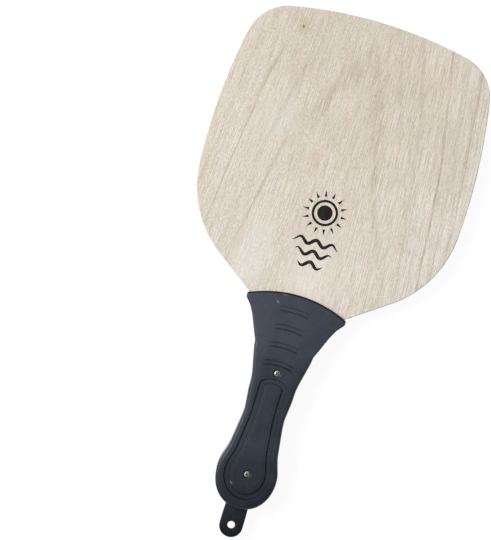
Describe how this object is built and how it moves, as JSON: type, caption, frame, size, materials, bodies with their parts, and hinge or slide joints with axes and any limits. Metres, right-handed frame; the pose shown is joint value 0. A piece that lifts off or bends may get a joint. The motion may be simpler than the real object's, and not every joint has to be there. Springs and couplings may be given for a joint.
{
  "type": "beach racket",
  "caption": "Flat wooden beach racket with a rounded square blade of plywood and a moulded rubber grip that has ribs, a raised pad and a hanging tab.",
  "frame": {"origin": "under the middle of the racket's length, on the surface that the back cover's flat pad rests on", "axes": "+Y along the racket from the grip to the blade, +Z out of the front face, +X to the right of the blade seen from the front"},
  "size_m": [0.2174, 0.4298, 0.026],
  "materials": {
    "face_wood": "matte",
    "core_wood": "matte",
    "cross_wood": "matte",
    "grip_rubber": "matte",
    "tab_rubber": "satin",
    "steel": "satin"
  },
  "bodies": {
    "root": {"front_face_veneer": "face_wood", "back_face_veneer": "face_wood", "core_ply": "core_wood", "front_cross_ply": "cross_wood", "back_cross_ply": "cross_wood", "front_grip_cover": "grip_rubber", "back_grip_cover": "grip_rubber", "hanging_tab": "tab_rubber", "upper_screw": "steel", "lower_screw": "steel", "upper_sleeve_nut": "steel", "lower_sleeve_nut": "steel"}
  },
  "joints": []
}
